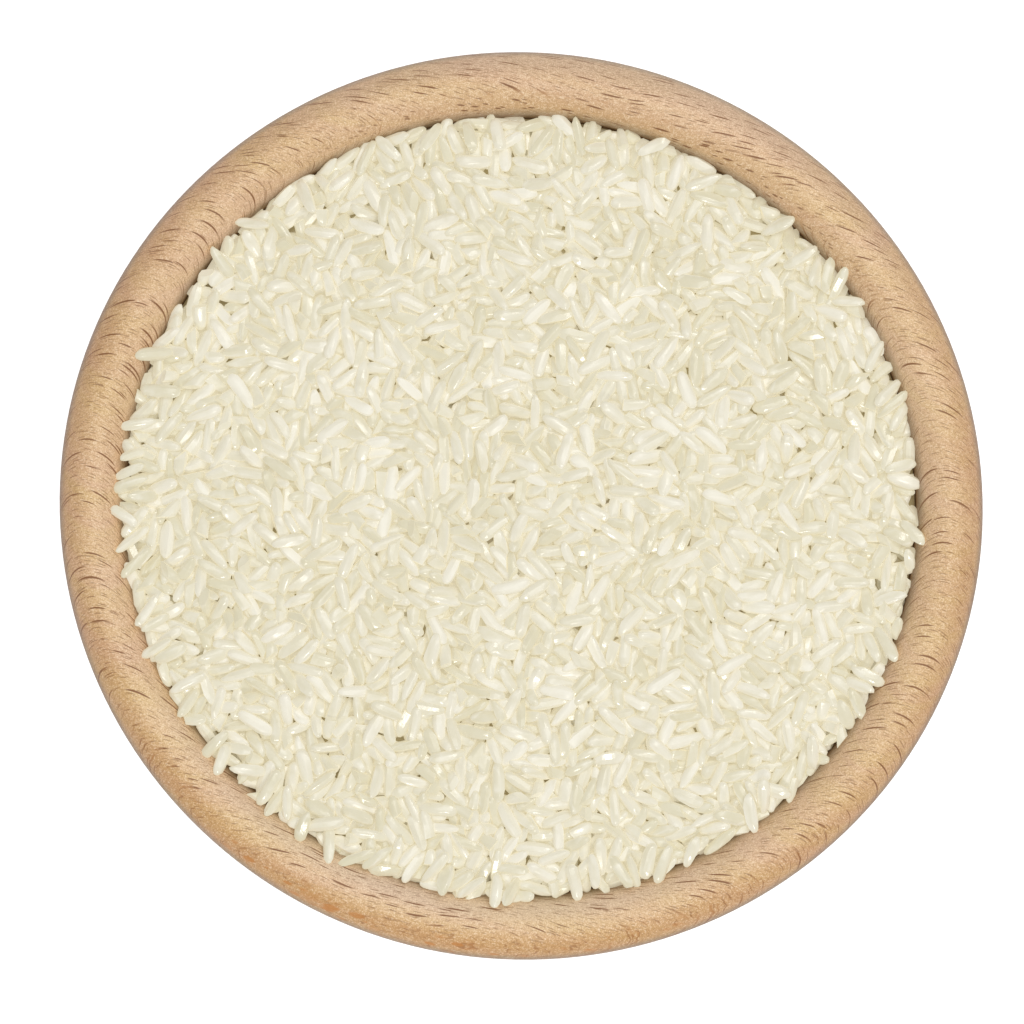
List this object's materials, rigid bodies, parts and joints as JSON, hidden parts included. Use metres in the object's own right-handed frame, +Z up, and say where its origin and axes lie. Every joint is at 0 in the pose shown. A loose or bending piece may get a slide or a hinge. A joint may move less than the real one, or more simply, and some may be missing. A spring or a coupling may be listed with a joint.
{
  "type": "bowl of rice",
  "caption": "Turned wooden bowl with a thick rounded lip, filled to the brim with raw white rice.",
  "frame": {"origin": "centre of the foot, on the table", "axes": "+Z up, +X along the wood's fibres, which is the long way of the slightly oval lip"},
  "size_m": [0.144, 0.1412, 0.0608],
  "materials": {
    "beech": "oiled, satin",
    "rice": "polished raw grains, slightly see-through"
  },
  "bodies": {
    "root": {"bowl": "beech", "rice": "rice"}
  },
  "joints": []
}
